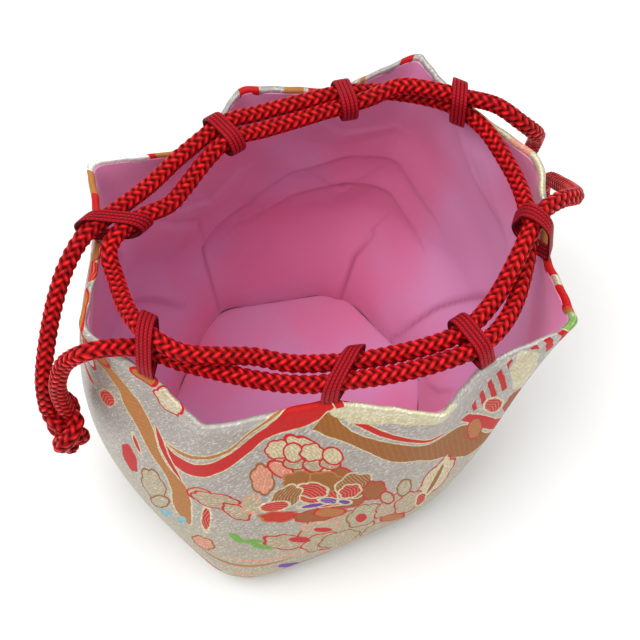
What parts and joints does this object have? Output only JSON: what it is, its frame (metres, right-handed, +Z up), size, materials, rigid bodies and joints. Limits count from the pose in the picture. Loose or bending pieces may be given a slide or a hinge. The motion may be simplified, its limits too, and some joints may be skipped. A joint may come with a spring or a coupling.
{
  "type": "drawstring pouch",
  "caption": "Open cloth pouch with a flat stiffened base, a lined brocade wall, tabs round the rim and a braided drawstring at each side.",
  "frame": {"origin": "underside of the base, at the middle of the floor plan's width", "axes": "+Z up through the open mouth, +Y to the back, -X to the side of the left drawstring's knot"},
  "size_m": [0.1662, 0.1366, 0.1257],
  "materials": {
    "brocade": "metallic figured brocade",
    "lining": "plain pink cotton",
    "board": "plain card stiffener",
    "tab_weave": "matte crimson woven tape",
    "cord_braid": "silky red braid"
  },
  "bodies": {
    "root": {"outer_wall": "brocade", "lining_wall": "lining", "base_cloth": "brocade", "base_board": "board", "lining_floor": "lining", "loop_1": "tab_weave", "loop_2": "tab_weave", "loop_3": "tab_weave", "loop_4": "tab_weave", "loop_5": "tab_weave", "loop_6": "tab_weave", "loop_7": "tab_weave", "loop_8": "tab_weave", "drawstring_left": "cord_braid", "knot_left": "cord_braid", "drawstring_right": "cord_braid", "knot_right": "cord_braid"}
  },
  "joints": []
}
